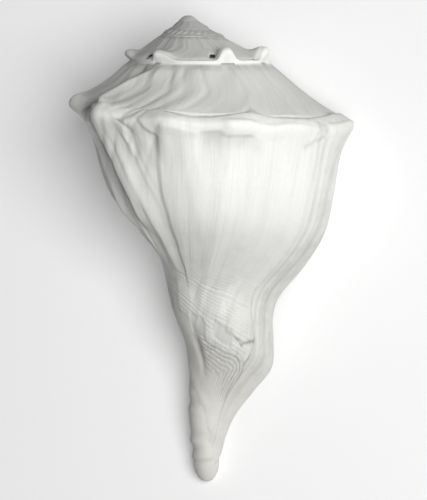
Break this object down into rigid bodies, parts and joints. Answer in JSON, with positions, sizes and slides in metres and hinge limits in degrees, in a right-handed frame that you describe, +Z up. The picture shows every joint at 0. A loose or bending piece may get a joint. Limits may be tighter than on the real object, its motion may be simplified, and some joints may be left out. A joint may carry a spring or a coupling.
{
  "type": "conch shell",
  "caption": "Left-handed whelk-type seashell with a low knobbed spire, a swollen body whorl, a wide mouth and a long open canal, lying on its mouth.",
  "frame": {"origin": "on the surface that the shell lies on, under the centre of its bounding box", "axes": "+Y along the shell towards the apex of the spire, +Z up, with the back of the shell on top and the mouth underneath"},
  "size_m": [0.1022, 0.178, 0.083],
  "materials": {
    "shell": "satin"
  },
  "bodies": {
    "root": {"shell": "shell"}
  },
  "joints": []
}
